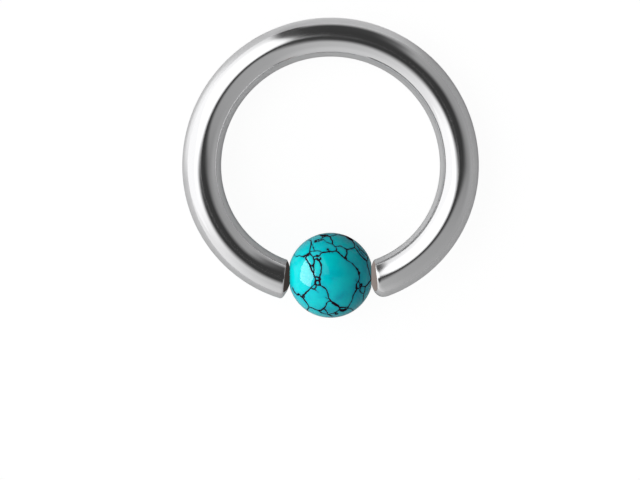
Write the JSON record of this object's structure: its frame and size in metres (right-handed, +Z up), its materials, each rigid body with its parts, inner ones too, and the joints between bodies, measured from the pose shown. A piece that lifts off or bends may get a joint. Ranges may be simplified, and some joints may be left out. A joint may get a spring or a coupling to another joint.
{
  "type": "captive bead ring",
  "caption": "Round polished wire ring with domed ends that hold a veined turquoise bead across its opening, so that the bead turns between them; body jewellery, lying on its side.",
  "frame": {"origin": "on the ground, under the middle of the lying ring's box", "axes": "+Z up from the ground, the bead towards -Y, +X along the line through the bead's two hollows"},
  "size_m": [0.0122, 0.0122, 0.0035],
  "materials": {
    "polished_steel": "polished",
    "turquoise_stone": "gloss"
  },
  "bodies": {
    "ring": {"hoop": "polished_steel"},
    "turning_bead": {"bead": "turquoise_stone"}
  },
  "joints": [
    {"name": "bead_spin", "type": "hinge", "parent": "ring", "child": "turning_bead", "pos_m": [0, -0.0044, 0.00175], "axis": [1, 0, 0], "continuous": true}
  ]
}
